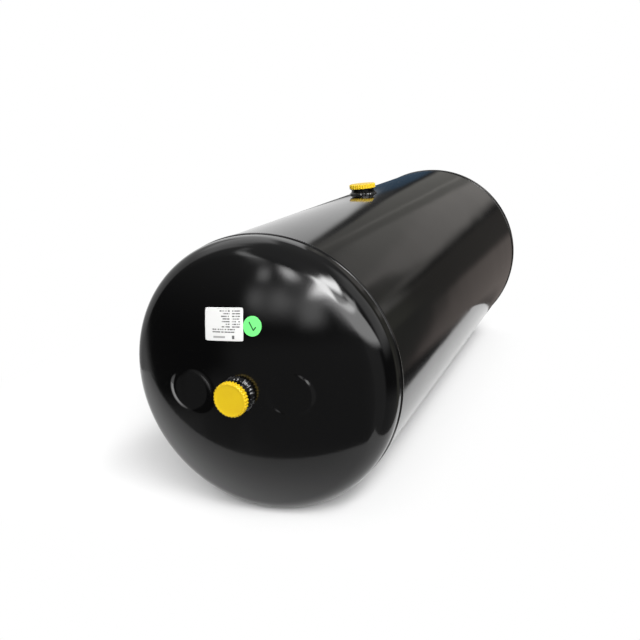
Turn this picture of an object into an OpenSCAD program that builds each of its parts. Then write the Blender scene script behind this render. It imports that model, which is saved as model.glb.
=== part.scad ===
// Horizontal compressed-air tank: a rolled shell closed by two dished ends,
// with threaded port bosses and plastic port caps. Millimetres, +Z up.
// The tank lies along Y with its labelled end at -Y, and the origin is on the
// floor under the middle of the tank.

/* [Shell] */
// Outside diameter of the shell
tank_d = 246; // [200:1:310]
// Length of the rolled shell, edge to edge
shell_l = 568; // [300:1:900]
// Wall of the shell
shell_t = 2.5; // [1.5:0.1:4]
// Angle of the long seam from the top, towards -X
seam_angle = 100; // [60:1:130]

/* [Dished ends] */
// Wall of the ends
end_t = 3; // [2:0.1:4]
// Radius of the crown, outside
crown_r = 246; // [220:1:320]
// Radius of the knuckle, outside
knuckle_r = 24.6; // [18:0.1:36]
// Straight flange between the girth weld and the knuckle
flange_l = 8; // [4:0.5:20]
// Length of the joggled spigot inside the shell
spigot_l = 12; // [8:0.5:20]

/* [Pressed pads] */
// Diameter of the flat of a pad
pad_d = 33; // [28:0.5:36]
// Distance from the axis to the middle of the left pad
left_pad_x = 48; // [44:0.5:52]
// Distance from the axis to the middle of the right pad
right_pad_x = 45; // [44:0.5:52]
// How far the middle of a pad's flat lies under the crown's surface
pad_sink = 1; // [0.5:0.1:1.5]
// Slope of a pad's flank, in degrees from its flat
pad_slope = 28; // [26:1:40]
// Lean of a pad's flat away from the axis, in degrees
pad_lean = 2; // [1:0.5:4]

/* [Welds] */
// Gap between two plate edges that a weld fills
weld_gap = 2; // [1:0.1:3]
// Width of the bead over a girth joint
girth_w = 5; // [4:0.1:8]
// Height of the bead over a girth joint
girth_h = 0.9; // [0.5:0.1:1.5]
// Width of the bead over the long seam
seam_w = 4; // [3:0.1:7]
// Height of the bead over the long seam
seam_h = 0.5; // [0.3:0.1:0.8]
// Leg of the fillet round a boss
fillet_leg = 2.9; // [2:0.1:4]

/* [Port bosses] */
// Outside diameter of a boss
boss_d = 26.4; // [25:0.1:29]
// Bore of a boss, tapped for the port thread
port_d = 20.4; // [16:0.1:21]
// Height of an end boss over the top of the crown
boss_h = 8.4; // [6:0.1:12]
// Height of the drain boss over the shell
drain_boss_h = 6; // [5:0.1:10]
// Length of a boss inside the wall
boss_in = 3; // [1:0.1:8]
// Chamfer at the mouth of the bore
mouth_c = 1; // [0.5:0.1:1.5]

/* [Port caps] */
// Diameter of a cap's head
cap_d = 30; // [28:0.1:36]
// Thickness of a cap's head
cap_h = 5.2; // [4:0.1:8]
// Chamfer round a cap's front edge
cap_c = 1.2; // [0.6:0.1:1.8]
// Radius of one knurl ridge
ridge_r = 0.9; // [0.5:0.1:1.2]
// Number of knurl ridges
ridge_count = 32; // [24:1:36]
// Length of the cap's hollow shank in the bore
shank_l = 9; // [5:0.5:12]
// Wall of the shank
shank_t = 1.6; // [1:0.1:2.5]

/* [Stickers] */
// Width of the rating label
label_w = 36; // [25:0.5:45]
// Height of the rating label
label_h = 26.5; // [20:0.5:35]
// Middle of the rating label to the right of the axis
label_x = -8.3; // [-20:0.1:0]
// Middle of the rating label above the axis
label_y = 57.6; // [45:0.1:70]
// Diameter of the round inspection sticker
sticker_d = 16; // [12:0.1:20]
// Thickness of the stickers
sticker_t = 0.2; // [0.1:0.05:0.4]

/* [Hidden] */
$fn = 360;

paint = "#141414";
cap_yellow = "#f0d010";
label_white = "#ececec";
sticker_green = "#70f080";

tank_r = tank_d / 2;
boss_r = boss_d / 2;
axis_z = tank_r + girth_h;
flank_h = 9;
slide_fit = 0.2;
shank_fit = 0.15;

// Stations along the axis from the middle of the tank towards an end
shell_edge = shell_l / 2;
shoulder = shell_edge + weld_gap;
tangent = shoulder + flange_l;
// Centre of the crown sphere, below the tangent line of the knuckle
crown_drop = sqrt(pow(crown_r - knuckle_r, 2) - pow(tank_r - knuckle_r, 2));
crown_centre = tangent - crown_drop;
apex = crown_centre + crown_r;

spigot_r = tank_r - shell_t - slide_fit;
sticker_x = label_x + (label_w + sticker_d) / 2;
sticker_y = label_y - 1.4;

// Depth of the crown below its top at a distance from the axis
function crown_sag(x) = crown_r - sqrt(crown_r * crown_r - x * x);

// Frames: local z runs from the middle of the tank to an end, local y is up
module at_front() {
    translate([0, 0, axis_z]) rotate([90, 0, 0]) children();
}

module at_rear() {
    at_front() rotate([0, 180, 0]) children();
}

// Local z runs up through the drain boss
module at_top() {
    translate([0, 0, axis_z]) children();
}

// Half outline of a torispherical dome on a straight skirt, from z_base up.
// The knuckle is an arc about its own centre, and the crown an arc about the axis.
module dome_outline(radius, knuckle, crown, z_base) {
    knuckle_x = radius - knuckle;
    reach = 2 * crown;
    lean = [knuckle_x, crown_drop] / norm([knuckle_x, crown_drop]);
    beyond = [knuckle_x, tangent] + reach * lean;
    translate([0, z_base]) square([radius, tangent - z_base]);
    intersection() {
        translate([knuckle_x, tangent]) circle(knuckle);
        polygon([[knuckle_x, tangent], [knuckle_x + reach, tangent], beyond]);
    }
    intersection() {
        translate([0, crown_centre]) circle(crown);
        polygon([[0, tangent], [knuckle_x, tangent], beyond, [0, beyond[1]]]);
    }
}

// Frames of the two pads in line with the port: local z runs out through a pad's flat
module at_pads(inset) {
    for (pad = [[-1, left_pad_x], [1, right_pad_x]])
        translate([pad[0] * pad[1], 0, apex - crown_sag(pad[1]) - pad_sink])
            rotate([0, pad[0] * pad_lean, 0]) translate([0, 0, -inset]) children();
}

// Cone that widens from the rim of a pad's flat at the slope of its flank
module pad_cone(radius) {
    cylinder(h = flank_h, r1 = radius, r2 = radius + flank_h / tan(pad_slope));
}

// Dished end with its spigot, filled in, at an inset from the outside. Each pad is a flat
// square to its own frame: its outer side stands over the crown and its inner side is sunk.
module end_form(inset) {
    turn = inset * tan(pad_slope / 2);
    difference() {
        union() {
            rotate_extrude() {
                dome_outline(tank_r - inset, knuckle_r - inset, crown_r - inset, shoulder + inset);
                translate([0, shoulder - spigot_l]) square([spigot_r - inset, spigot_l + inset]);
            }
            at_pads(inset) mirror([0, 0, 1]) pad_cone(pad_d / 2 - turn);
        }
        at_pads(inset) pad_cone(pad_d / 2 + turn);
    }
}

module dished_end() {
    color(paint) difference() {
        end_form(0);
        end_form(end_t);
        translate([0, 0, apex - crown_r / 2]) cylinder(r = boss_r + slide_fit, h = crown_r);
    }
}

// Bead over a girth joint, with its root in the gap between shell and shoulder.
// It starts at the top, opposite the line that the tank rests on.
module girth_weld() {
    middle = shell_edge + weld_gap / 2;
    bead_r = (pow(girth_w / 2, 2) + girth_h * girth_h) / (2 * girth_h);
    color(paint) rotate([0, 0, 90]) rotate_extrude() {
        translate([spigot_r, shell_edge]) square([tank_r - spigot_r, weld_gap]);
        intersection() {
            translate([tank_r + girth_h - bead_r, middle]) circle(bead_r);
            translate([tank_r, middle - girth_w / 2]) square([girth_h, girth_w]);
        }
    }
}

// Turned boss standing on local z, its outer face at a height over the wall
module boss(wall, height) {
    foot = -wall - boss_in;
    color(paint) difference() {
        translate([0, 0, foot]) cylinder(d = boss_d, h = height - foot);
        translate([0, 0, foot]) cylinder(d = port_d, h = height - foot);
        translate([0, 0, height - mouth_c])
            cylinder(d1 = port_d, d2 = port_d + 2 * mouth_c, h = mouth_c);
    }
}

// Weld fillet round an end boss, from the boss to its toe on the crown
module end_boss_weld() {
    toe = boss_r + fillet_leg;
    color(paint) translate([0, 0, apex]) rotate_extrude()
        polygon([[boss_r, fillet_leg], [boss_r, -crown_sag(boss_r)], [toe, -crown_sag(toe)]]);
}

// Weld fillet round the drain boss, a cone trimmed by the boss and the shell
module drain_boss_weld() {
    depth = pow(boss_r + fillet_leg, 2) / tank_r;
    rise = fillet_leg + depth;
    color(paint) difference() {
        translate([0, 0, tank_r - depth]) cylinder(r1 = boss_r + rise, r2 = boss_r, h = rise);
        translate([0, 0, tank_r - depth]) cylinder(r = boss_r, h = rise);
        rotate([90, 0, 0]) cylinder(r = tank_r, h = shell_l, center = true);
    }
}

// Knurled screw-in cap seated on a boss face at local z = 0
module port_cap() {
    ridge_x = cap_d / 2 - ridge_r;
    face_r = cap_d / 2 - cap_c;
    shank_d = port_d - 2 * shank_fit;
    color(cap_yellow) {
        intersection() {
            linear_extrude(cap_h) {
                circle(ridge_x);
                for (i = [0 : ridge_count - 1])
                    rotate(i * 360 / ridge_count) translate([ridge_x, 0]) circle(ridge_r, $fn = 24);
            }
            cylinder(r1 = face_r + cap_h, r2 = face_r, h = cap_h);
        }
        translate([0, 0, -shank_l]) difference() {
            cylinder(d = shank_d, h = shank_l);
            cylinder(d = shank_d - 2 * shank_t, h = shank_l);
        }
    }
}

// Film on the crown of the front end, cut to the outline of its children
module film() {
    intersection() {
        difference() {
            translate([0, 0, crown_centre]) sphere(crown_r + sticker_t);
            translate([0, 0, crown_centre]) sphere(crown_r);
        }
        translate([0, 0, tangent]) linear_extrude(crown_r) children();
    }
}

// Strip of the shell's section where the rolled plate's edges meet
module seam_strip() {
    rotate(seam_angle) translate([-weld_gap / 2, 0]) square([weld_gap, tank_d]);
}

module wall_section() {
    difference() {
        circle(d = tank_d);
        circle(d = tank_d - 2 * shell_t);
    }
}

module shell() {
    at_front() color(paint) difference() {
        linear_extrude(shell_l, center = true) difference() {
            wall_section();
            seam_strip();
        }
        rotate([-90, 0, 0]) cylinder(r = boss_r + slide_fit, h = tank_d);
    }
}

// Long seam: a root through the wall, and a bead that stops short of the girth beads
module shell_seam_weld() {
    run = shell_l - girth_w + weld_gap;
    bead_r = (pow(seam_w / 2, 2) + seam_h * seam_h) / (2 * seam_h);
    at_front() color(paint) {
        linear_extrude(shell_l, center = true) intersection() {
            wall_section();
            seam_strip();
        }
        linear_extrude(run, center = true) difference() {
            rotate(seam_angle) translate([0, tank_r + seam_h - bead_r]) circle(bead_r);
            circle(d = tank_d);
        }
    }
}

module rating_label() {
    at_front() color(label_white) film() translate([label_x, label_y])
        square([label_w, label_h], center = true);
}

module inspection_sticker() {
    at_front() color(sticker_green) film() translate([sticker_x, sticker_y]) circle(d = sticker_d);
}

shell();
shell_seam_weld();
at_front() dished_end();  // front_end
at_front() girth_weld();  // front_girth_weld
at_front() translate([0, 0, apex]) boss(end_t, boss_h);  // front_boss
at_front() end_boss_weld();  // front_boss_weld
at_front() translate([0, 0, apex + boss_h]) port_cap();  // front_cap
at_rear() dished_end();  // rear_end
at_rear() girth_weld();  // rear_girth_weld
at_rear() translate([0, 0, apex]) boss(end_t, boss_h);  // rear_boss
at_rear() end_boss_weld();  // rear_boss_weld
at_rear() translate([0, 0, apex + boss_h]) port_cap();  // rear_cap
at_top() translate([0, 0, tank_r]) boss(shell_t, drain_boss_h);  // drain_boss
at_top() drain_boss_weld();
at_top() translate([0, 0, tank_r + drain_boss_h]) port_cap();  // drain_cap
rating_label();
inspection_sticker();
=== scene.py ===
"""Skins, finishes and studio of a horizontal compressed-air tank.

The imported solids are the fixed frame. Each skin below is a surface worked out with numpy
on a grid of two parameters, in metres, along the tank's own axis: X to the right of the
labelled end, Y along the tank, Z up.
"""

from functools import reduce

import bpy
import numpy as np
from bpy.props import FloatProperty, FloatVectorProperty, IntProperty, PointerProperty
from bpy.types import Operator, Panel, PropertyGroup
from mathutils import Matrix, Vector


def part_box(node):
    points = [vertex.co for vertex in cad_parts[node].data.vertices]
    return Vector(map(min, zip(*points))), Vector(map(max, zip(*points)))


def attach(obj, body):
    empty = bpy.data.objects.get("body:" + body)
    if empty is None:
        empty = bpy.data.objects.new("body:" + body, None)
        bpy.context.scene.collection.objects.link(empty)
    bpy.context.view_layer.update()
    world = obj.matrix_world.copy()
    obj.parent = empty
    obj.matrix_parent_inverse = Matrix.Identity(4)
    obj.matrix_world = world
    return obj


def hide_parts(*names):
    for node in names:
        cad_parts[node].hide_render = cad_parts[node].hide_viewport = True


bl_info = {
    "name": "Compressed-air tank",
    "version": (1, 0, 0),
    "blender": (4, 5, 0),
    "location": "3D View > Sidebar > Tank",
    "description": "Makes the skins, finishes and studio of a horizontal compressed-air tank",
    "category": "Object",
}

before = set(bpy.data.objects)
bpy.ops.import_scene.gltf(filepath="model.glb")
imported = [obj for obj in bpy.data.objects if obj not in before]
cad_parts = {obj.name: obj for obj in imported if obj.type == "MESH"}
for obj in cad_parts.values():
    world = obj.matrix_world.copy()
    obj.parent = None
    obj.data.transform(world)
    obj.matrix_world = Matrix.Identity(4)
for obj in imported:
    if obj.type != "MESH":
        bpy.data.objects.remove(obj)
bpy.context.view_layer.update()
MM = 0.001

SHELL_LOW, SHELL_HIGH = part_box("shell")
FRONT_CAP_LOW, FRONT_CAP_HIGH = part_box("front_cap")
DRAIN_CAP_LOW, DRAIN_CAP_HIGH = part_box("drain_cap")
FRONT_BOSS_LOW, FRONT_BOSS_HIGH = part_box("front_boss")
_, DRAIN_BOSS_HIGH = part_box("drain_boss")
LABEL_LOW, LABEL_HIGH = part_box("rating_label")
STICKER_LOW, STICKER_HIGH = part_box("inspection_sticker")
AXIS_Z = (SHELL_LOW.z + SHELL_HIGH.z) / 2
ENDS = (("front", -1), ("rear", 1))


def length(name, description, default):
    """A property that holds a length in metres."""
    return FloatProperty(name=name, description=description, default=default, unit="LENGTH", precision=4)


def angle(name, description, default):
    """A property that holds an angle, given in degrees."""
    return FloatProperty(name=name, description=description, default=np.radians(default), subtype="ANGLE")


def tint(name, description, default):
    """A property that holds a colour."""
    return FloatVectorProperty(
        name=name, description=description, default=default, size=3, min=0, max=1, subtype="COLOR"
    )


def share(name, description, default):
    """A property that holds a share from 0 to 1."""
    return FloatProperty(name=name, description=description, default=default, min=0, max=1, subtype="FACTOR")


def place(name, description, default):
    """A property that holds a point or a direction."""
    return FloatVectorProperty(name=name, description=description, default=default, subtype="XYZ")


class TankSizes(PropertyGroup):
    """Sizes of the tank that the skins follow."""

    radius: length("Tank radius", "Outside radius of the shell", (SHELL_HIGH.z - SHELL_LOW.z) / 2)
    shell_half: length("Half shell", "From the middle of the tank to the shell's edge", SHELL_HIGH.y)
    wall: length("Wall", "Wall of the shell", 2.5 * MM)
    end_wall: length("End wall", "Wall of the dished ends", 3 * MM)
    crown: length("Crown radius", "Outside radius of the crown of an end", 246 * MM)
    knuckle: length("Knuckle radius", "Outside radius of the knuckle of an end", 24.6 * MM)
    flange: length("Flange", "Straight flange between the girth weld and the knuckle", 8 * MM)
    weld_gap: length("Weld gap", "Gap between the shell's edge and the shoulder of an end", 2 * MM)
    girth_width: length("Girth bead width", "Width of the bead over a girth joint", 5 * MM)
    girth_rise: length("Girth bead height", "Height of the bead over a girth joint", 0.9 * MM)
    seam_width: length("Seam bead width", "Width of the bead over the long seam", 4 * MM)
    seam_rise: length("Seam bead height", "Height of the bead over the long seam", 0.5 * MM)
    pad_radius: length("Pad radius", "Radius of a pad's flat on its raised side", 17.5 * MM)
    rim_radius: length("Rim radius", "Radius of a pad's flat on its sunk side", 16.5 * MM)
    left_pad: length("Left pad", "From the axis to the middle of the left pad", 48 * MM)
    right_pad: length("Right pad", "From the axis to the middle of the right pad", 45 * MM)
    pad_sink: length("Pad sink", "From the crown in to the middle of a pad's flat", 1 * MM)
    pad_lean: angle("Pad lean", "Lean of a pad's flat away from the axis", 3)
    pad_slope: angle("Pad slope", "Slope of a pad's raised flank", 36)
    pad_edge: length("Pad edge", "Softness of the edge over the raised flank", 0.9 * MM)
    pad_toe: length("Pad toe", "Reach of the fillet at the toe of the raised flank", 1.0 * MM)
    left_rim: angle("Left rim", "Slope of the left pad's sunk flank", 21)
    right_rim: angle("Right rim", "Slope of the right pad's sunk flank", 29)
    rim_edge: length("Rim edge", "Softness of the edge under the sunk flank", 1.1 * MM)
    rim_toe: length("Rim toe", "Reach of the fillet at the head of the sunk flank", 1.0 * MM)
    boss_radius: length("Boss radius", "Outside radius of a port boss", FRONT_BOSS_HIGH.x)
    fillet: length("Boss fillet", "Leg of the weld fillet round a boss", 2.9 * MM)
    ridges: IntProperty(name="Knurl ridges", description="Ridges round a port cap", default=32)
    ridge: length("Ridge radius", "Radius of one knurl ridge", 0.9 * MM)
    film: length("Sticker film", "Thickness of the label and the sticker", 0.2 * MM)
    clearance: length("Clearance", "Gap where one piece goes into another", 0.2 * MM)
    spigot: length("Spigot", "Length of the spigot of an end inside the shell", 12 * MM)
    shank: length("Cap shank", "Outside radius of a cap's shank", 10.05 * MM)
    shank_bore: length("Shank bore", "Inside radius of a cap's shank", 8.45 * MM)
    shank_length: length("Shank length", "Length of a cap's shank below its seat", 9 * MM)
    cap_round: length("Cap round", "Radius of the round at the edge of a cap's face", 1.2 * MM)
    cap_rim: length("Cap rim", "Width of the raised rim round a cap's face", 2.6 * MM)
    cap_dish: length("Cap dish", "Depth of a cap's face below its rim", 0.22 * MM)


class TankFinish(PropertyGroup):
    """Colours and gloss of the paint, the plastic and the stickers."""

    paint: tint("Paint", "Gloss paint on all the steel", (0.0016, 0.0016, 0.0017))
    paint_rough: share("Paint roughness", "Roughness of clean paint", 0.08)
    paint_ior: FloatProperty(name="Paint index", description="Refractive index of the paint", default=1.55)
    dust: tint("Dust", "Specks of dust on the paint", (0.10, 0.10, 0.098))
    cap: tint("Cap", "Moulded plastic of the port caps", (0.70, 0.485, 0.010))
    cap_rough: share("Cap roughness", "Roughness of clean plastic", 0.36)
    cap_dirt: tint("Cap dirt", "Specks of dirt on the caps", (0.25, 0.16, 0.02))
    # Painted shade: the dark colour that a cap takes towards its seat, under its rim
    cap_seat_shade: tint("Cap seat shade", "Painted shade at the seat of a cap", (0.05, 0.03, 0.002))
    label: tint("Label", "Face of the rating label", (0.74, 0.74, 0.73))
    label_rough: share("Label roughness", "Roughness of the clean label", 0.4)
    label_smudge: tint("Label smudge", "Smudges on the rating label", (0.70, 0.70, 0.68))
    label_dirt: tint("Label dirt", "Specks of dirt on the rating label", (0.3, 0.3, 0.3))
    print_ink: tint("Print", "Ruled print on the rating label", (0.03, 0.03, 0.03))
    sticker: tint("Sticker", "Face of the inspection sticker", (0.17, 0.90, 0.21))
    sticker_rough: share("Sticker roughness", "Roughness of the clean sticker", 0.42)
    sticker_smudge: tint("Sticker smudge", "Smudges on the inspection sticker", (0.10, 0.72, 0.16))
    tick_ink: tint("Tick", "Tick on the inspection sticker", (0.01, 0.05, 0.02))


class TankStudio(PropertyGroup):
    """Camera, floor and light round the tank."""

    eye: place("Camera", "Place of the camera", (0.3079, -0.8563, 0.3305))
    right: place("Camera right", "Right of the picture", (0.91983, 0.37980, -0.09830))
    ahead: place("Camera ahead", "Into the picture", (-0.39226, 0.88635, -0.24601))
    lens: FloatProperty(name="Lens", description="Focal length, in millimetres", default=43.31)
    sensor: FloatProperty(name="Sensor", description="Width of the sensor, in millimetres", default=36.0)
    floor: tint("Floor", "Colour of the pale board under the tank", (0.86, 0.86, 0.86))
    room: FloatProperty(name="Room", description="Level of the plain surroundings", default=0.02)
    ceiling: FloatProperty(name="Ceiling", description="Level of the surroundings overhead", default=0.27)


def smooth_step(low, high, x):
    """0 below low, 1 above high, and 3t^2 - 2t^3 between."""
    t = np.clip((x - low) / (high - low), 0, 1)
    return t * t * (3 - 2 * t)


def lathe(radius, along, turns):
    """Carries a half-section round the Y axis: x = r sin t, y = along, z = r cos t.

    radius and along are arrays of one row per station, or of one row per station and one
    column per turn where the section changes on its way round. turns is a count, or the turns.
    """
    t = np.linspace(0, 2 * np.pi, turns, endpoint=False) if isinstance(turns, int) else turns
    radius = radius if radius.ndim == 2 else radius[:, None]
    along = along if along.ndim == 2 else along[:, None]
    x, y, z = np.broadcast_arrays(radius * np.sin(t), along, radius * np.cos(t))
    return np.stack([x, y, z], -1)


def faces_of_grid(rows, cols, close_rows, close_cols):
    """Corner numbers of each cell of a grid, with the last row or column joined to the first."""
    i = np.arange(rows if close_rows else rows - 1)[:, None]
    j = np.arange(cols if close_cols else cols - 1)[None, :]
    i2, j2 = (i + 1) % rows, (j + 1) % cols
    corners = [i * cols + j, i * cols + j2, i2 * cols + j2, i2 * cols + j]
    return np.stack([np.broadcast_to(c, (i.size, j.size)) for c in corners], -1).reshape(-1, 4)


def skin(name, grid, close_rows=True, close_cols=True, lids=False, uv=None):
    """A mesh object from a grid of points, with its faces outwards.

    lids closes the first and the last row with one face each. The sign of the volume,
    the sum of a . (b x c) / 6 over the faces' triangles, tells whether the faces are turned.
    """
    rows, cols = grid.shape[:2]
    points = grid.reshape(-1, 3)
    quads = faces_of_grid(rows, cols, close_rows, close_cols)
    a, b, c, d = (points[quads[:, k]] for k in range(4))
    volume = (a * np.cross(b, c)).sum() + (a * np.cross(c, d)).sum()
    first, last = np.arange(cols)[::-1], np.arange(cols) + (rows - 1) * cols
    if volume < 0:
        quads, first, last = quads[:, ::-1], first[::-1], last[::-1]
    loops = quads.ravel()
    starts = np.arange(len(quads)) * 4
    if lids:
        starts = np.concatenate([starts, [len(loops), len(loops) + cols]])
        loops = np.concatenate([loops, first, last])
    mesh = bpy.data.meshes.new(name)
    mesh.vertices.add(len(points))
    mesh.vertices.foreach_set("co", points.astype(np.float32).ravel())
    mesh.loops.add(len(loops))
    mesh.loops.foreach_set("vertex_index", loops.astype(np.int32))
    mesh.polygons.add(len(starts))
    mesh.polygons.foreach_set("loop_start", starts.astype(np.int32))
    mesh.update(calc_edges=True)
    mesh.polygons.foreach_set("use_smooth", np.ones(len(starts), bool))
    if uv is not None:
        layer = mesh.uv_layers.new(name="UVMap")
        layer.data.foreach_set("uv", uv.reshape(-1, 2)[loops].astype(np.float32).ravel())
    if mesh.validate():
        raise RuntimeError(f"{name} has faces that are not sound")
    piece = bpy.data.objects.new(name, mesh)
    bpy.context.scene.collection.objects.link(piece)
    return piece


def put_on(piece, material, slot, *nodes):
    """Gives a skin its finish and lets it stand for CAD nodes of the tank."""
    piece.data.materials.append(material)
    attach(piece, "root")
    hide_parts(*nodes)


def on_axis(grid, end=-1):
    """Puts a grid made along +Y at the tank's axis; end is -1 for the front and 1 for the rear.

    The front is the rear turned half round about the vertical, so x and y change sign.
    """
    turn = np.array([end, end, 1.0])
    return grid * turn + np.array([0, 0, AXIS_Z])


def crown_sag(sizes, r):
    """Depth of the crown below its top at radius r: R - sqrt(R^2 - r^2)."""
    return sizes.crown - np.sqrt(sizes.crown**2 - r**2)


def end_stations(sizes):
    """Stations along the axis: the shoulder, the knuckle's tangent line, the crown's centre and its top."""
    shoulder = sizes.shell_half + sizes.weld_gap
    tangent = shoulder + sizes.flange
    drop = np.sqrt((sizes.crown - sizes.knuckle) ** 2 - (sizes.radius - sizes.knuckle) ** 2)
    return shoulder, tangent, tangent - drop, tangent - drop + sizes.crown


def end_arc(sizes, inset, crown_r, knuckle_count):
    """Half-section of a dished end at an inset from its outside, from the port to the shoulder.

    The crown is an arc about the axis up to the tangent point, and the knuckle an arc about
    its own centre: r = k + n sin t, a = tangent + n cos t.
    """
    shoulder, tangent, centre, _ = end_stations(sizes)
    k = sizes.radius - sizes.knuckle
    crown, knuckle = sizes.crown - inset, sizes.knuckle - inset
    limit = np.arctan2(k, tangent - centre)
    swing = np.arcsin(np.minimum(crown_r / crown, np.sin(limit)))
    t = np.linspace(limit, np.pi / 2, knuckle_count)[1:]
    r = np.concatenate([crown * np.sin(swing), k + knuckle * np.sin(t)])
    along = np.concatenate([centre + crown * np.cos(swing), tangent + knuckle * np.cos(t)])
    return r, along


def smooth_max(a, b, reach):
    """The greater of two heights, filleted where they come within reach: max + h^2 reach / 4."""
    h = np.clip(1 - np.abs(a - b) / reach, 0, 1)
    return np.maximum(a, b) + h * h * reach / 4


def press_pads(sizes, grid):
    """Presses the two blank pads into a dished end's surface.

    Each pad is a flat p that leans a little outwards. Beyond its radius a flank f grows as
    tan(slope) softplus(d), so that the surface is max(min(a, p + f), p - f), filleted: the flat's
    outer side stands over the crown, and its inner side is sunk behind a softer rim.
    """
    _, _, _, top = end_stations(sizes)
    x, along, z = grid[..., 0], grid[..., 1], grid[..., 2]
    offset = np.where(x < 0, sizes.right_pad, sizes.left_pad)
    rim = np.tan(np.where(x < 0, sizes.right_rim, sizes.left_rim))
    outward = np.abs(x) - offset
    flat = top - crown_sag(sizes, offset) - sizes.pad_sink - np.tan(sizes.pad_lean) * outward
    reach = np.hypot(outward, z)
    over = np.logaddexp(0, (reach - sizes.pad_radius) / sizes.pad_edge)
    fall = np.tan(sizes.pad_slope) * sizes.pad_edge * over
    climb = rim * sizes.rim_edge * np.logaddexp(0, (reach - sizes.rim_radius) / sizes.rim_edge)
    sunk = -smooth_max(-along, -flat - climb, sizes.rim_toe)
    out = grid.copy()
    out[..., 1] = smooth_max(sunk, flat - fall, sizes.pad_toe)
    return out


class TANK_OT_shell(Operator):
    """Makes the skin of the rolled shell"""

    bl_idname = "tank.shell"
    bl_label = "Shell"

    def execute(self, context):
        sizes = context.scene.tank_sizes
        half, edge = sizes.shell_half, 0.2 * MM
        rows, turns = 41, 720
        run = np.concatenate([[-half], np.linspace(-half + edge, half - edge, rows), [half]])
        radius = np.repeat([sizes.radius, sizes.radius - sizes.wall], run.size)
        grid = lathe(radius, np.concatenate([run, run[::-1]]), turns)
        put_on(skin("shell_skin", on_axis(grid)), gloss_paint(), "gloss_paint", "shell")
        return {"FINISHED"}


class TANK_OT_ends(Operator):
    """Makes the skins of the two dished ends with their pressed pads"""

    bl_idname = "tank.ends"
    bl_label = "Dished ends"

    def execute(self, context):
        sizes = context.scene.tank_sizes
        r_out, along_out = self.outside(sizes)
        r_rim, along_rim = self.rim(sizes)
        r_in, along_in = self.inside(sizes)
        r = np.concatenate([r_out, r_rim, r_in[::-1]])
        along = np.concatenate([along_out, along_rim, along_in[::-1]])
        columns, crowding = 440, 0.32
        turns = np.linspace(0, 2 * np.pi, columns, endpoint=False)
        grid = lathe(r, along, turns + crowding * np.sin(2 * turns))
        grid[: r_out.size] = press_pads(sizes, grid[: r_out.size])
        for name, end in ENDS:
            piece = skin(f"{name}_end_skin", on_axis(grid, end))
            put_on(piece, gloss_paint(), "gloss_paint", f"{name}_end")
        return {"FINISHED"}

    def outside(self, sizes):
        """Half-section of the outside, with close rows where the pads are pressed."""
        hole = sizes.boss_radius + sizes.clearance
        pads_from, pads_to, crown_to = 16 * MM, 77 * MM, 109.4 * MM
        spans = ((hole, pads_from, 5), (pads_from, pads_to, 131), (pads_to, crown_to, 17))
        rows = [np.linspace(low, high, count)[1:] for low, high, count in spans]
        return end_arc(sizes, 0, np.concatenate([[hole], *rows]), knuckle_count=26)

    def rim(self, sizes):
        """Half-section from the knuckle over the flange and the shoulder, and round the spigot."""
        shoulder, tangent, _, _ = end_stations(sizes)
        outer = sizes.radius - sizes.wall - sizes.clearance
        inner, lip = outer - sizes.end_wall, shoulder - sizes.spigot
        r = np.array([sizes.radius] * 4 + [outer, outer, inner, inner])
        flange = [tangent - 2 * MM, tangent - 5 * MM, shoulder + 0.2 * MM, shoulder]
        return r, np.array(flange + [shoulder, lip, lip, shoulder + sizes.end_wall])

    def inside(self, sizes):
        """Half-section of the inside, which doesn't show, in fewer rows."""
        hole, crown_to = sizes.boss_radius + sizes.clearance, 109 * MM
        return end_arc(sizes, sizes.end_wall, np.linspace(hole, crown_to, 18), knuckle_count=8)


def bead(width, rise, count):
    """Section of a weld bead: an arc over its width, as offset across and height."""
    across = np.linspace(-width / 2, width / 2, count)
    arc = (width * width / 4 + rise * rise) / (2 * rise)
    return across, np.sqrt(arc * arc - across * across) - arc + rise


def lag(across):
    """How far a bead's ripples trail at its sides, in radians: 3 c^2, with c from -1 to 1 across."""
    return 3 * (across / across.max()) ** 2


def bead_radius(sizes, height, ripple):
    """Radius over a bead on the shell: R + h min(ripple, 1), with the bead's edges sunk a little."""
    sunk = 0.05 * MM
    return sizes.radius + height * np.minimum(ripple, 1) - sunk * (height <= 0)


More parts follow.
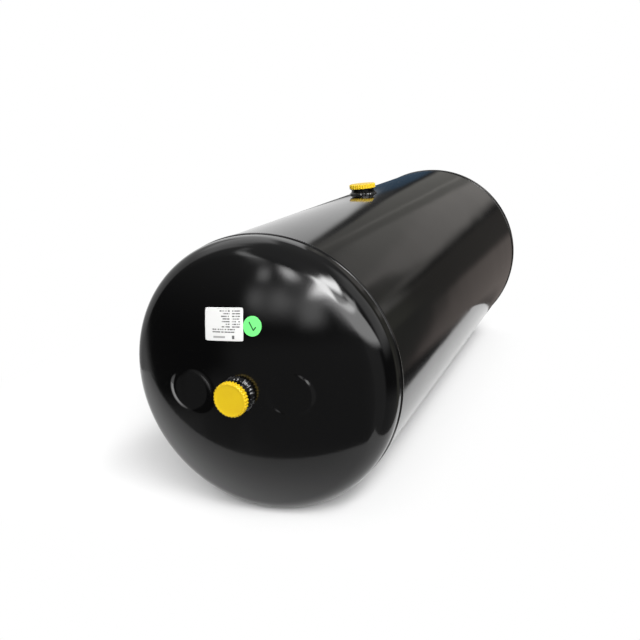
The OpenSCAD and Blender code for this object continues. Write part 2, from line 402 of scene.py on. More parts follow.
class TANK_OT_welds(Operator):
    """Makes the weld beads: the two girth joints, the long seam and the boss fillets"""

    bl_idname = "tank.welds"
    bl_label = "Weld beads"

    def execute(self, context):
        sizes = context.scene.tank_sizes
        self.girth(sizes)
        self.seam(sizes)
        self.end_fillets(sizes)
        self.drain_fillet(sizes)
        return {"FINISHED"}

    def girth(self, sizes):
        """A bead carried round the shell: 1 + p sin(n t + lag) + q sin(11 t + 4 sin 3t) times its height."""
        rows, turns, ripples, depth, swell = 13, 2160, 360, 0.07, 0.06
        across, height = bead(sizes.girth_width, sizes.girth_rise, rows)
        t = np.linspace(0, 2 * np.pi, turns, endpoint=False)
        ripple = 1 + depth * np.sin(ripples * t + lag(across)[:, None])
        ripple = ripple + swell * np.sin(11 * t + 4 * np.sin(3 * t))
        r = bead_radius(sizes, height[:, None], ripple)
        r = np.concatenate([r, np.full((2, turns), sizes.radius - sizes.wall)])
        half_gap = sizes.weld_gap / 2
        along = sizes.shell_half + half_gap + np.concatenate([across, [half_gap, -half_gap]])
        grid = lathe(r, along, turns)
        for name, end in ENDS:
            piece = skin(f"{name}_girth_bead", on_axis(grid, end))
            put_on(piece, gloss_paint(), "gloss_paint", f"{name}_girth_weld")

    def seam(self, sizes):
        """A bead carried along the shell at the seam's angle: 1 + p sin(y / pitch + lag) times its height."""
        low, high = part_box("shell_seam_weld")
        middle = (low + high) / 2
        turn = np.arctan2(middle.x, middle.z - AXIS_Z)
        columns, stations, depth, pitch = 9, 1700, 0.08, 0.36 * MM
        stop_short = 1.5 * MM
        half, half_gap = sizes.shell_half - stop_short, sizes.weld_gap / 2
        across, height = bead(sizes.seam_width, sizes.seam_rise, columns)
        run = np.linspace(-half, half, stations)[:, None]
        r = bead_radius(sizes, height, 1 + depth * np.sin(run / pitch + lag(across)))
        r = np.concatenate([r, np.full((stations, 2), sizes.radius - sizes.wall)], 1)
        swing = turn + np.concatenate([across, [half_gap, -half_gap]]) / sizes.radius
        grid = np.stack([r * np.sin(swing), run + 0 * r, r * np.cos(swing)], -1)
        piece = skin("seam_bead", grid + np.array([0, 0, AXIS_Z]), close_rows=False, lids=True)
        put_on(piece, gloss_paint(), "gloss_paint", "shell_seam_weld")

    def fillet_section(self, sizes):
        """Turns round a boss, and the radius and lift of its weld fillet there.

        The section is a bulged line from the boss to the toe, swollen by lumps that are sums of
        sines of the turn. Its last row closes it under the surface that carries it.
        """
        t = np.linspace(0, 2 * np.pi, 480, endpoint=False)
        toe_sink, foot_sink, foot_gap = 0.08 * MM, 0.3 * MM, 0.05 * MM
        lump = 0.10 * np.sin(19 * t + 2 * np.sin(5 * t)) + 0.07 * np.sin(31 * t + 1.3) + 0.05 * np.sin(7 * t)
        s = np.linspace(0, 1, 11)[:, None]
        bulge = 0.112 * np.sin(np.pi * s)
        reach = sizes.fillet * (s + bulge) * (1 + lump * s)
        rise = sizes.fillet * (1 - s + bulge) * (1 + lump * (1 - s))
        foot = np.full((1, t.size), sizes.boss_radius - foot_gap)
        radius = np.concatenate([sizes.boss_radius + reach, foot])
        return t, radius, np.concatenate([rise - toe_sink * s, np.full((1, t.size), -foot_sink)])

    def end_fillets(self, sizes):
        """A fillet carried round the boss on the crown of each end."""
        _, _, _, top = end_stations(sizes)
        t, r, lift = self.fillet_section(sizes)
        grid = lathe(r, top - crown_sag(sizes, np.maximum(r, sizes.boss_radius)) + lift, t)
        for name, end in ENDS:
            piece = skin(f"{name}_boss_fillet", on_axis(grid, end))
            put_on(piece, gloss_paint(), "gloss_paint", f"{name}_boss_weld")

    def drain_fillet(self, sizes):
        """A fillet carried round the drain boss on the shell: its foot follows sqrt(R^2 - x^2)."""
        t, r, lift = self.fillet_section(sizes)
        x, y = r * np.cos(t), r * np.sin(t)
        z = np.sqrt(sizes.radius**2 - x * x) + lift + AXIS_Z
        piece = skin("drain_boss_fillet", np.stack([x, y, z], -1))
        put_on(piece, gloss_paint(), "gloss_paint", "drain_boss_weld")


class TANK_OT_bosses(Operator):
    """Paints the turned port bosses of the frame"""

    bl_idname = "tank.bosses"
    bl_label = "Port bosses"

    def execute(self, context):
        for name in ("front_boss", "rear_boss", "drain_boss"):
            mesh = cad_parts[name].data
            mesh.materials.clear()
            mesh.materials.append(gloss_paint())
        return {"FINISHED"}


class TANK_OT_caps(Operator):
    """Makes the knurled plastic caps of the three ports"""

    bl_idname = "tank.caps"
    bl_label = "Port caps"

    def execute(self, context):
        sizes = context.scene.tank_sizes
        seat = -FRONT_BOSS_LOW.y
        grid = self.cap(sizes, (FRONT_CAP_HIGH.x - FRONT_CAP_LOW.x) / 2, -FRONT_CAP_LOW.y - seat)
        for name, end in ENDS:
            self.dress(f"{name}_cap", on_axis(grid + np.array([0, seat, 0]), end), grid)
        height = DRAIN_CAP_HIGH.z - DRAIN_BOSS_HIGH.z
        grid = self.cap(sizes, (DRAIN_CAP_HIGH.x - DRAIN_CAP_LOW.x) / 2, height)
        upright = np.stack([grid[..., 0], grid[..., 2], grid[..., 1] + DRAIN_BOSS_HIGH.z], -1)
        self.dress("drain_cap", upright, grid)
        return {"FINISHED"}

    def dress(self, node, placed, grid):
        """A cap's skin in its place, with a map whose v runs from 0 at its seat to 1 at its face."""
        uv = np.stack([0 * grid[..., 0], grid[..., 1] / grid[..., 1].max()], -1)
        piece = skin(f"{node}_skin", placed, False, lids=True, uv=uv)
        put_on(piece, cap_plastic(), "cap_plastic", node)

    def cap(self, sizes, radius, height):
        """A cap on the Y axis, its seat at y = 0.

        Round the rim the radius follows the knurl: v + n sqrt(1 - (d / n)^2) on a ridge, where d
        is the distance along the rim from the ridge's middle, and the valley's v between ridges.
        """
        columns_per_ridge, easing, knurl_depth = 20, 0.35, 1.25 * MM
        turns = sizes.ridges * columns_per_ridge
        t = np.linspace(0, 2 * np.pi, turns, endpoint=False)
        pitch = 2 * np.pi / sizes.ridges
        valley = radius - sizes.ridge
        d = (np.mod(t + pitch / 2, pitch) - pitch / 2) * valley
        knurl = valley + sizes.ridge * np.sqrt(np.clip(1 - (d / sizes.ridge) ** 2, 0, 1))
        r, along = self.section(sizes, radius, height)
        r = r[:, None]
        ridged = np.minimum(r, knurl - (radius - r) * easing)
        return lathe(np.where(r > radius - knurl_depth, ridged, r), along, turns)

    def section(self, sizes, radius, height):
        """Half-section of a cap: the face dished inside a raised rim, the side, and the hollow shank."""
        tip, edge, roof = 0.2 * MM, 0.25 * MM, -0.4 * MM
        rim = radius - sizes.cap_rim
        face = np.concatenate([[tip], np.linspace(2 * MM, rim, 10), rim + np.linspace(0.2, 0.8, 4) * MM])
        face_y = height - sizes.cap_dish * (1 - smooth_step(rim - 0.3 * MM, rim + 0.8 * MM, face))
        q = np.linspace(0, np.pi / 2, 7)
        shoulder = radius - sizes.cap_round * (1 - np.sin(q))
        shoulder_y = height - sizes.cap_round * (1 - np.cos(q))
        side_y = np.linspace(height - sizes.cap_round, edge, 8)[1:]
        seat = [radius - edge, radius - 1.5 * MM]
        shank = [sizes.shank, sizes.shank, sizes.shank_bore, sizes.shank_bore, tip]
        shank_y = [0, -sizes.shank_length, -sizes.shank_length, roof, roof]
        r = np.concatenate([face, shoulder, np.full(side_y.size, radius), seat, shank])
        return r, np.concatenate([face_y, shoulder_y, side_y, [0, 0], shank_y])


class TANK_OT_stickers(Operator):
    """Makes the rating label and the round inspection sticker on the front end"""

    bl_idname = "tank.stickers"
    bl_label = "Label and sticker"

    def execute(self, context):
        sizes = context.scene.tank_sizes
        u, v = np.meshgrid(np.linspace(-1, 1, 73), np.linspace(-1, 1, 55))
        draw_in, squareness = 0.45 * MM, 14
        corner = draw_in * np.abs(u * v) ** squareness
        piece = self.film(sizes, "rating_label_film", (LABEL_LOW, LABEL_HIGH), u, v, corner)
        put_on(piece, label_film(), "label_film", "rating_label")
        u, v = np.meshgrid(np.linspace(-1, 1, 49), np.linspace(-1, 1, 49))
        u, v = u * np.sqrt(1 - v * v / 2), v * np.sqrt(1 - u * u / 2)
        piece = self.film(sizes, "inspection_sticker_film", (STICKER_LOW, STICKER_HIGH), u, v, 0)
        put_on(piece, sticker_film(), "sticker_film", "inspection_sticker")
        return {"FINISHED"}

    def film(self, sizes, name, box, u, v, corner):
        """A film on the crown: u and v run over the node's box, and y lies on the crown plus the film.

        corner is how far the corners are drawn in, which rounds them.
        """
        _, _, centre, _ = end_stations(sizes)
        low, high = box
        x = (low.x + high.x) / 2 + u * (high.x - low.x) / 2 - np.sign(u) * corner
        z = (low.z + high.z) / 2 + v * (high.z - low.z) / 2 - np.sign(v) * corner
        y = -centre - np.sqrt((sizes.crown + sizes.film) ** 2 - x * x - (z - AXIS_Z) ** 2)
        uv = np.stack([(u + 1) / 2, (v + 1) / 2], -1)
        piece = skin(name, np.stack([x, y, z], -1), False, False, uv=uv)
        if piece.data.polygons[0].normal.y > 0:
            piece.data.flip_normals()
        thick = piece.modifiers.new("Film", "SOLIDIFY")
        thick.thickness, thick.offset = sizes.film, -1
        return piece


class Nodes:
    """Short calls to make and join the nodes of a tree."""

    def __init__(self, tree):
        self.tree = tree

    def link(self, source, socket):
        """Joins a socket to another, or gives it a plain value."""
        if isinstance(source, bpy.types.NodeSocket):
            self.tree.links.new(source, socket)
        else:
            socket.default_value = source

    def add(self, kind, links=None, **values):
        """A node of a kind, with its settings and plain socket values, and links from sockets."""
        node = self.tree.nodes.new(kind)
        for key, value in values.items():
            if hasattr(node, key):
                setattr(node, key, value)
            else:
                node.inputs[key.replace("_", " ")].default_value = value
        for key, source in (links or {}).items():
            self.link(source, node.inputs[key])
        return node

    def math(self, operation, *terms, clamp=False):
        """A Math node on sockets and numbers."""
        node = self.tree.nodes.new("ShaderNodeMath")
        node.operation, node.use_clamp = operation, clamp
        for k, term in enumerate(terms):
            self.link(term, node.inputs[k])
        return node.outputs[0]

    def times(self, *terms):
        """The product of sockets and numbers."""
        return reduce(lambda a, b: self.math("MULTIPLY", a, b), terms)

    def most(self, *terms):
        """The greatest of sockets and numbers."""
        return reduce(lambda a, b: self.math("MAXIMUM", a, b), terms)

    def raised(self, base, *masks):
        """A base value plus a gain times each mask."""
        return reduce(lambda total, pair: self.math("MULTIPLY_ADD", *pair, total), masks, base)

    def ramp(self, value, low, high):
        """A smooth step of a value from low to high."""
        node = self.tree.nodes.new("ShaderNodeMapRange")
        node.interpolation_type = "SMOOTHSTEP"
        for key, term in (("Value", value), ("From Min", low), ("From Max", high)):
            self.link(term, node.inputs[key])
        return node.outputs["Result"]

    def between(self, value, low, high, edge=0.01):
        """Mask of a value from low to high."""
        return self.times(self.ramp(value, low, low + edge), self.ramp(value, high, high - edge))

    def mix(self, factor, a, b):
        """A colour mix; a and b are colours or sockets."""
        node = self.tree.nodes.new("ShaderNodeMix")
        node.data_type = "RGBA"
        for key, value in ((0, factor), (6, a), (7, b)):
            self.link(value, node.inputs[key])
        return node.outputs[2]


def new_group(name, inputs, outputs):
    """A shader node group with float or vector inputs and float outputs."""
    tree = bpy.data.node_groups.new(name, "ShaderNodeTree")
    for label, kind in inputs:
        tree.interface.new_socket(label, in_out="INPUT", socket_type=kind)
    for label in outputs:
        tree.interface.new_socket(label, in_out="OUTPUT", socket_type="NodeSocketFloat")
    nodes = Nodes(tree)
    return nodes, nodes.add("NodeGroupInput").outputs, nodes.add("NodeGroupOutput").inputs


def handling_marks():
    """Group of marks that handling leaves on a finish: soft smudges, and fine dust specks in patches."""
    if "Handling marks" in bpy.data.node_groups:
        return bpy.data.node_groups["Handling marks"]
    scales = [(label, "NodeSocketFloat") for label in ("Smudge Scale", "Speck Scale", "Speck Share")]
    nodes, given, out = new_group(
        "Handling marks", [("Vector", "NodeSocketVector"), *scales], ["Smudge", "Specks"]
    )
    vector = given["Vector"]
    cloud = nodes.add(
        "ShaderNodeTexNoise", {"Vector": vector, "Scale": given["Smudge Scale"]}, Detail=5.0, Roughness=0.62
    )
    cells = nodes.add("ShaderNodeTexVoronoi", {"Vector": vector, "Scale": given["Speck Scale"]})
    patch = nodes.add("ShaderNodeTexNoise", {"Vector": vector}, Scale=14.0, Detail=3.0)
    spot = nodes.ramp(cells.outputs["Distance"], given["Speck Share"], 0.0)
    nodes.link(nodes.ramp(cloud.outputs["Fac"], 0.35, 0.75), out["Smudge"])
    nodes.link(nodes.times(spot, nodes.ramp(patch.outputs["Fac"], 0.45, 0.65)), out["Specks"])
    return nodes.tree


def new_material(name):
    """A material with its nodes and its shader, or with None for both where it is made already."""
    if name in bpy.data.materials:
        return bpy.data.materials[name], None, None
    material = bpy.data.materials.new(name)
    material.use_nodes = True
    return material, Nodes(material.node_tree), material.node_tree.nodes["Principled BSDF"]


def marks_on(nodes, vector, smudge, speck, share_of_cell):
    """Places the handling marks in a material, at the scales of its smudges and specks."""
    node = nodes.add("ShaderNodeGroup", {"Vector": vector}, node_tree=handling_marks())
    node.inputs["Smudge Scale"].default_value = smudge
    node.inputs["Speck Scale"].default_value = speck
    node.inputs["Speck Share"].default_value = share_of_cell
    return node.outputs["Smudge"], node.outputs["Specks"]


def colour(rgb):
    """A property's colour with full alpha."""
    return (*rgb, 1.0)


def own_places(nodes):
    """A surface's object coordinates, and the u and v of its own map."""
    coordinates = nodes.add("ShaderNodeTexCoord").outputs
    split = nodes.add("ShaderNodeSeparateXYZ", {"Vector": coordinates["UV"]}).outputs
    return coordinates["Object"], split["X"], split["Y"]


def gloss_paint():
    """Black gloss paint on rolled and pressed steel: orange peel, a slow waviness, smudges and dust."""
    material, nodes, shader = new_material("gloss_black_paint")
    if nodes is None:
        return material
    finish = bpy.context.scene.tank_finish
    where = nodes.add("ShaderNodeTexCoord").outputs["Object"]
    smudge, specks = marks_on(nodes, where, smudge=7.0, speck=420.0, share_of_cell=0.05)
    nodes.link(nodes.mix(specks, colour(finish.paint), colour(finish.dust)), shader.inputs["Base Color"])
    nodes.link(nodes.raised(finish.paint_rough, (smudge, 0.05), (specks, 0.3)), shader.inputs["Roughness"])
    shader.inputs["IOR"].default_value = finish.paint_ior
    sway = nodes.add("ShaderNodeTexNoise", {"Vector": where}, Scale=11.0, Detail=1.0, Roughness=0.4)
    slow = nodes.add("ShaderNodeBump", {"Height": sway.outputs["Fac"]}, Strength=1.0, Distance=0.4 * MM)
    peel = nodes.add("ShaderNodeTexNoise", {"Vector": where}, Scale=330.0, Detail=2.0, Roughness=0.45)
    heights = {"Height": peel.outputs["Fac"], "Normal": slow.outputs["Normal"]}
    fine = nodes.add("ShaderNodeBump", heights, Strength=1.0, Distance=0.009 * MM)
    nodes.link(fine.outputs["Normal"], shader.inputs["Normal"])
    return material


def cap_plastic():
    """Yellow moulded plastic: a little uneven in tone, scuffed, with painted shade towards its seat, and a
    fine grain.
    """
    material, nodes, shader = new_material("yellow_cap_plastic")
    if nodes is None:
        return material
    finish = bpy.context.scene.tank_finish
    where, _, rise = own_places(nodes)
    smudge, specks = marks_on(nodes, where, smudge=60.0, speck=900.0, share_of_cell=0.10)
    deepening = (0.93, 0.86, 0.8)
    deep = colour([c * d for c, d in zip(finish.cap, deepening)])
    tone = nodes.mix(nodes.times(smudge, 0.6), colour(finish.cap), deep)
    dirty = nodes.mix(nodes.times(specks, 0.35), tone, colour(finish.cap_dirt))
    # Painted shade: the colour darkens towards the seat, low in the map's v, under the cap's rim
    seat_shaded = nodes.mix(nodes.ramp(rise, -0.1, 0.14), colour(finish.cap_seat_shade), dirty)
    nodes.link(seat_shaded, shader.inputs["Base Color"])
    nodes.link(nodes.raised(finish.cap_rough, (smudge, 0.12)), shader.inputs["Roughness"])
    shader.inputs["Subsurface Weight"].default_value = 0.08
    shader.inputs["Subsurface Radius"].default_value = (4 * MM, 2 * MM, 0.5 * MM)
    grain = nodes.add("ShaderNodeTexNoise", {"Vector": where}, Scale=2400.0, Detail=2.0)
    bump = nodes.add("ShaderNodeBump", {"Height": grain.outputs["Fac"]}, Strength=0.6, Distance=0.02 * MM)
    nodes.link(bump.outputs["Normal"], shader.inputs["Normal"])
    return material


def rectangle(nodes, u, v, left, right, low, high):
    """Mask of a rectangle in UV."""
    return nodes.times(nodes.between(u, left, right), nodes.between(v, low, high))


def dashed_rows(nodes, u, v):
    """Mask of rows of dashes all over a label, and the number of each row.

    A row is a band of v, and its dashes are where a noise of u and of the row's number is high.
    """
    row_count, dash_count, row_stride = 12.8, 34.0, 7.31
    rows = nodes.times(v, row_count)
    row = nodes.math("FLOOR", rows)
    line = nodes.between(nodes.math("FRACT", rows), 0.20, 0.76, edge=0.10)
    steps = {"X": nodes.times(u, dash_count), "Y": nodes.times(row, row_stride)}
    spread = nodes.add("ShaderNodeCombineXYZ", steps).outputs["Vector"]
    noise = nodes.add("ShaderNodeTexNoise", {"Vector": spread}, Scale=1.0, Detail=1.0, Roughness=0.5)
    return nodes.times(line, nodes.ramp(noise.outputs["Fac"], 0.40, 0.47)), row


def label_print(nodes, u, v):
    """Mask of the print: two columns of dashes with a ragged start, two foot rows, a bar and a block."""
    dashes, row = dashed_rows(nodes, u, v)
    start = nodes.add("ShaderNodeTexWhiteNoise", {"W": row}, noise_dimensions="1D").outputs["Value"]
    ragged = nodes.ramp(nodes.raised(u, (start, -0.3)), 0.28, 0.29)
    columns = nodes.most(nodes.times(ragged, nodes.ramp(u, 0.67, 0.66)), nodes.between(u, 0.72, 0.93))
    body = nodes.times(columns, nodes.between(v, 0.39, 0.97))
    foot = rectangle(nodes, u, v, 0.2, 0.8, 0.235, 0.39)
    bar = nodes.times(rectangle(nodes, u, v, 0.22, 0.54, 0.085, 0.155), 0.6)
    block = rectangle(nodes, u, v, 0.71, 0.78, 0.06, 0.175)
    return nodes.most(nodes.times(dashes, nodes.most(body, foot)), bar, block)


def label_film():
    """White label film with rows of dashes, a bar and a block in place of print."""
    material, nodes, shader = new_material("rating_label_white")
    if nodes is None:
        return material
    finish = bpy.context.scene.tank_finish
    where, u, v = own_places(nodes)
    smudge, specks = marks_on(nodes, where, smudge=50.0, speck=900.0, share_of_cell=0.08)
    paper = nodes.mix(nodes.times(smudge, 0.06), colour(finish.label), colour(finish.label_smudge))
    printed = nodes.mix(nodes.times(label_print(nodes, u, v), 0.9), paper, colour(finish.print_ink))
    dirty = nodes.mix(nodes.times(specks, 0.3), printed, colour(finish.label_dirt))
    nodes.link(dirty, shader.inputs["Base Color"])
    nodes.link(nodes.raised(finish.label_rough, (smudge, 0.1)), shader.inputs["Roughness"])
    return material


def stroke(nodes, u, v, u0, v0, u1, v1):
    """Mask of a stroke between two points: the distance from the segment, under half a pen's width."""
    du, dv = u1 - u0, v1 - v0
    pu, pv = nodes.math("SUBTRACT", u, u0), nodes.math("SUBTRACT", v, v0)
    dot = nodes.math("ADD", nodes.times(pu, du), nodes.times(pv, dv))
    along = nodes.math("DIVIDE", dot, du * du + dv * dv, clamp=True)
    gap_u = nodes.math("SUBTRACT", pu, nodes.times(along, du))
    gap_v = nodes.math("SUBTRACT", pv, nodes.times(along, dv))
    gap = nodes.math("SQRT", nodes.math("ADD", nodes.times(gap_u, gap_u), nodes.times(gap_v, gap_v)))
    pen_edge, pen_core = 0.040, 0.028
    return nodes.ramp(gap, pen_edge, pen_core)


def sticker_film():
    """Bright green sticker with a hand-drawn tick: two strokes, each a band round a line in UV."""
    material, nodes, shader = new_material("inspection_sticker_green")
    if nodes is None:
        return material
    finish = bpy.context.scene.tank_finish
    where, u, v = own_places(nodes)
    start, turn, stop = (0.68, 0.44), (0.56, 0.30), (0.34, 0.70)
    tick = nodes.most(stroke(nodes, u, v, *start, *turn), stroke(nodes, u, v, *turn, *stop))
    smudge, _ = marks_on(nodes, where, smudge=60.0, speck=900.0, share_of_cell=0.08)
    face = nodes.mix(nodes.times(smudge, 0.25), colour(finish.sticker), colour(finish.sticker_smudge))
    nodes.link(nodes.mix(tick, face, colour(finish.tick_ink)), shader.inputs["Base Color"])
    nodes.link(nodes.raised(finish.sticker_rough, (smudge, 0.15)), shader.inputs["Roughness"])
    return material


PANEL_PLACE = ("At Azimuth", "At Elevation", "Half Width", "Half Height", "Edge", "Slant")


def soft_panel():
    """Group that masks a soft-edged panel of the surroundings by azimuth and elevation, in degrees.

    The slant moves the panel along in azimuth, by so many degrees for each degree of elevation.
    """
    sockets = [(label, "NodeSocketFloat") for label in ("Azimuth", "Elevation", *PANEL_PLACE)]
    nodes, given, out = new_group("Soft panel", sockets, ["Mask"])
    rise = nodes.math("SUBTRACT", given["Elevation"], given["At Elevation"])
    turn = nodes.math("SUBTRACT", given["Azimuth"], given["At Azimuth"])
    turn = nodes.math("SUBTRACT", turn, nodes.times(rise, given["Slant"]))
    turn = nodes.math("WRAP", turn, 180.0, -180.0)
    masks = []
    for gap, half in ((turn, given["Half Width"]), (rise, given["Half Height"])):
        far = nodes.math("ADD", half, given["Edge"])
        near = nodes.math("SUBTRACT", half, given["Edge"])
        masks.append(nodes.ramp(nodes.math("ABSOLUTE", gap), far, near))
    nodes.link(nodes.times(*masks), out["Mask"])
    return nodes.tree


def grey(level):
    """A neutral colour of a level."""
    return (level, level, level)


# Soft panels of light round the tank, each painted over those before it. Each has the six numbers
# of PANEL_PLACE, in degrees but for the slant, and a colour. Azimuth 0 is -Y, and 90 is +X.
BACKDROP = "pale backdrop"
PANELS = {
    "low fill": (0, -62, 180, 38, 6, 0, grey(0.16)),
    "left fill": (-110, 5, 28, 50, 3, 0, grey(0.5)),
    "left top fill": (-112, 52, 30, 13, 8, 0, grey(1.05)),
    "front low fill": (15, -22, 48, 27, 7, 0, grey(0.12)),
    "front left fill": (-42, -26, 12, 16, 5, 0.75, grey(0.12)),
    "front right fill": (56, -22, 23, 26, 6, 0, grey(0.22)),
    "right fill": (122, 26, 26, 24, 8, 0, grey(0.75)),
    "glow": (-6, 21, 17, 5.5, 6, 0, grey(0.86)),
    "far lamp": (-20, 21.5, 3, 3, 3, 0, grey(1.3)),
    "near lamp": (-7, 21.5, 4, 3.5, 4, 0, grey(1.5)),
    "low lamp": (8, 16.5, 5, 5, 4.5, 0, grey(1.6)),
    "wide lamp": (48, 21.5, 33, 14.5, 3.5, -0.85, grey(3.8)),
    "lamp gap": (5, 31, 9.5, 7, 3, 0, grey(0.52)),
    "middle row": (50.5, 29, 10, 6, 5, 3.2, grey(9)),
    "corner lamp": (70, 37, 8, 5, 5, 0, grey(4.7)),
    "high row": (21.5, 33.7, 8.5, 9.7, 3, 0.6, grey(17)),
    "high row end": (51, 48, 20, 7.5, 5.5, 2, grey(17)),
    "strip lamp": (-37, 46.5, 6, 8, 4, -1.5, grey(2.4)),
    "strip lamp end": (-55, 59, 6, 6, 4, -1.3, grey(0.86)),
    "top lamp": (-4.5, 33.5, 3.5, 2.4, 2, -1.2, grey(8.6)),
    "small lamp": (-18, 32, 3, 2.5, 2.2, 0, grey(2.3)),
    "rear fill": (224, 50, 24, 15, 6, 0, grey(1.2)),
    "back fill": (172, 14, 14, 6, 2, 0, (0.44, 0.42, 0.4)),
    "back top fill": (170, 21, 12, 3.5, 1.5, 0, (0.36, 0.35, 0.33)),
    "back gap": (160.5, 12.5, 2.5, 3.5, 1.5, 0, (0.17, 0.165, 0.155)),
    "back dim fill": (186, 16, 6, 12, 1, 0, (0.24, 0.235, 0.22)),
    "back strip": (184.3, 16, 0.6, 12, 0.5, 0, (0.36, 0.35, 0.33)),
    "back corner": (150, 0, 9, 30, 3, 0, (0.14, 0.14, 0.12)),
    "back shade": (164, 1, 5, 5, 1.5, 0, (0.075, 0.07, 0.065)),
    "back glint": (157, 7, 1.5, 2, 1.5, 0, (0.42, 0.41, 0.39)),
    "back low fill": (174.5, -11, 13, 6.5, 2, 0, (0.235, 0.205, 0.19)),
    "back low shade": (158, -9, 2.5, 7, 1.5, 0, (0.07, 0.07, 0.065)),
    "blue fill": (197, 4, 3.5, 7, 1.2, 0, (0.05, 0.085, 0.13)),
    BACKDROP: (215, 8, 16, 32, 1.5, -0.55, grey(1)),
    "dark strip": (191.5, 18, 1.2, 6, 0.8, -0.55, grey(0.07)),
}
WHITE = (1.0, 1.0, 1.0, 1.0)

# The board's reach along X and Y, and where it fades to white towards each edge, in metres
BOARD_X, BOARD_Y = (-0.62, 0.18), (-0.385, 0.37)
FADE_LEFT, FADE_RIGHT = (-0.2, -0.6), (0.06, 0.175)
FADE_FRONT, FADE_BACK = (-0.30, -0.38), (0.25, 0.365)

# Painted shade, seen only in the mirror of the paint: where the board dims towards its front, in metres, and
# to what share
DUSK, DUSK_SHARE = (-0.29, -0.39), 0.5


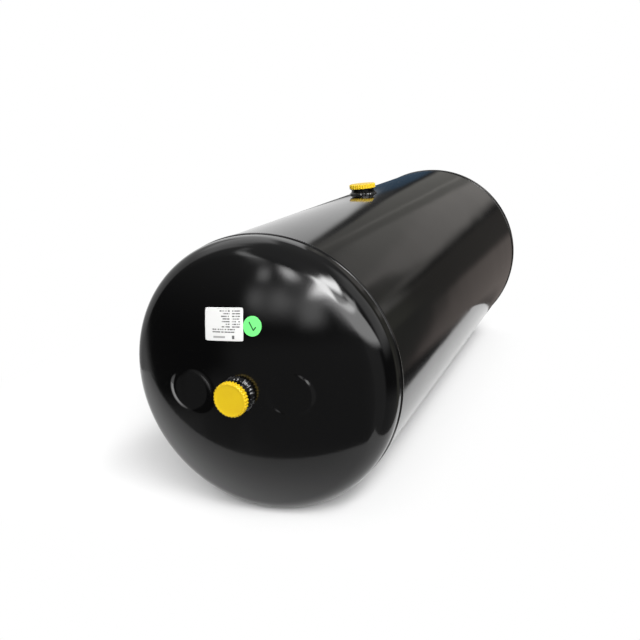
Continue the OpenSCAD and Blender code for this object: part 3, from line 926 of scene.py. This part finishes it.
class TANK_OT_stage(Operator):
    """Makes the pale board under the tank, the soft surroundings and the camera"""

    bl_idname = "tank.stage"
    bl_label = "Studio"

    def execute(self, context):
        studio = context.scene.tank_studio
        self.board(studio)
        self.surroundings(context.scene, studio)
        self.camera(context.scene, studio)
        context.scene.view_settings.view_transform = "Standard"
        return {"FINISHED"}

    def board(self, studio):
        """A flat board of one cell; its edge lies inside the white of the background."""
        x, y = np.meshgrid(BOARD_X, BOARD_Y)
        floor = skin("pale_board", np.stack([x, y, 0 * x], -1), False, False)
        if floor.data.polygons[0].normal.z < 0:
            floor.data.flip_normals()
        floor.data.materials.append(self.board_finish(studio))

    def seen(self, nodes, path):
        """Mask of the camera's own rays, and of those that pass through a surface."""
        return nodes.most(path["Is Camera Ray"], path["Is Transmission Ray"])

    def board_finish(self, studio):
        """Pale matt board that runs out to the background's white before its edge."""
        material, nodes, shader = new_material("pale_board")
        shader.inputs["Roughness"].default_value = 0.8
        white = nodes.add("ShaderNodeEmission", Strength=1.0)
        path = nodes.add("ShaderNodeLightPath").outputs
        glossy = path["Is Glossy Ray"]
        where = nodes.add("ShaderNodeTexCoord").outputs["Object"]
        split = nodes.add("ShaderNodeSeparateXYZ", {"Vector": where}).outputs
        x, y = split["X"], split["Y"]
        # Painted shade: for reflected rays the board's colour falls to a share of itself towards its front
        dusk = colour([DUSK_SHARE * c for c in studio.floor])
        dim = nodes.times(nodes.ramp(y, *DUSK), glossy)
        nodes.link(nodes.mix(dim, colour(studio.floor), dusk), shader.inputs["Base Color"])
        right, back = nodes.ramp(x, *FADE_RIGHT), nodes.ramp(y, *FADE_BACK)
        edge = nodes.most(right, nodes.ramp(x, *FADE_LEFT), nodes.ramp(y, *FADE_FRONT), back)
        factor = nodes.most(
            nodes.times(edge, self.seen(nodes, path)), nodes.times(nodes.most(right, back), glossy)
        )
        blend = nodes.add("ShaderNodeMixShader", {0: factor, 1: shader.outputs[0], 2: white.outputs[0]})
        nodes.link(blend.outputs[0], material.node_tree.nodes["Material Output"].inputs["Surface"])
        return material

    def surroundings(self, scene, studio):
        """Soft panels on a dim room, and white behind the tank for the camera."""
        world = bpy.data.worlds.new("studio")
        world.use_nodes = True
        scene.world = world
        nodes = Nodes(world.node_tree)
        ahead = nodes.add("ShaderNodeTexCoord").outputs["Generated"]
        split = nodes.add("ShaderNodeSeparateXYZ", {"Vector": ahead}).outputs
        x, y, z = split["X"], split["Y"], split["Z"]
        azimuth = nodes.math("DEGREES", nodes.math("ARCTAN2", x, nodes.times(y, -1.0)))
        elevation = nodes.math("DEGREES", nodes.math("ARCSINE", z))
        horizon, overhead = 0.0, 65.0
        light = nodes.mix(
            nodes.ramp(elevation, horizon, overhead), colour(grey(studio.room)), colour(grey(studio.ceiling))
        )
        towards = {"Azimuth": azimuth, "Elevation": elevation}
        group, masks = soft_panel(), {}
        for name, (*numbers, level) in PANELS.items():
            panel = nodes.add("ShaderNodeGroup", towards, node_tree=group)
            for key, number in zip(PANEL_PLACE, numbers):
                panel.inputs[key].default_value = number
            masks[name] = panel.outputs["Mask"]
            light = nodes.mix(masks[name], light, colour(level))
        path = nodes.add("ShaderNodeLightPath").outputs
        mirrored = nodes.times(path["Is Glossy Ray"], masks[BACKDROP])
        light = nodes.mix(nodes.most(self.seen(nodes, path), mirrored), light, WHITE)
        nodes.link(light, world.node_tree.nodes["Background"].inputs["Color"])

    def camera(self, scene, studio):
        """A camera with the picture's own lens, turned to the axes that are given."""
        data = bpy.data.cameras.new("camera")
        data.lens, data.sensor_width = studio.lens, studio.sensor
        camera = bpy.data.objects.new("camera", data)
        scene.collection.objects.link(camera)
        ahead = Vector(studio.ahead).normalized()
        right = (Vector(studio.right) - Vector(studio.right).project(ahead)).normalized()
        turn = Matrix((right, right.cross(ahead), -ahead)).transposed().to_4x4()
        camera.matrix_world = Matrix.Translation(studio.eye) @ turn
        scene.camera = camera


OPERATORS = (
    TANK_OT_shell, TANK_OT_ends, TANK_OT_welds, TANK_OT_bosses, TANK_OT_caps, TANK_OT_stickers,
    TANK_OT_stage,
)


class TANK_PT_panel(Panel):
    """Lists the tank's pieces and its sizes"""

    bl_idname = "TANK_PT_panel"
    bl_label = "Compressed-air tank"
    bl_space_type = "VIEW_3D"
    bl_region_type = "UI"
    bl_category = "Tank"

    def draw(self, context):
        for operator in OPERATORS:
            self.layout.operator(operator.bl_idname)
        for group in (context.scene.tank_sizes, context.scene.tank_finish, context.scene.tank_studio):
            box = self.layout.box()
            for key in group.__annotations__:
                box.prop(group, key)


CLASSES = (TankSizes, TankFinish, TankStudio, *OPERATORS, TANK_PT_panel)


def register():
    """Registers the classes and puts their settings on the scene."""
    for item in CLASSES:
        bpy.utils.register_class(item)
    bpy.types.Scene.tank_sizes = PointerProperty(type=TankSizes)
    bpy.types.Scene.tank_finish = PointerProperty(type=TankFinish)
    bpy.types.Scene.tank_studio = PointerProperty(type=TankStudio)


def unregister():
    """Takes the settings and the classes away again."""
    for key in ("tank_sizes", "tank_finish", "tank_studio"):
        delattr(bpy.types.Scene, key)
    for item in reversed(CLASSES):
        bpy.utils.unregister_class(item)


def main():
    register()
    bpy.ops.tank.shell()
    bpy.ops.tank.ends()
    bpy.ops.tank.welds()
    bpy.ops.tank.bosses()
    bpy.ops.tank.caps()
    bpy.ops.tank.stickers()
    bpy.ops.tank.stage()


if __name__ == "__main__":
    main()
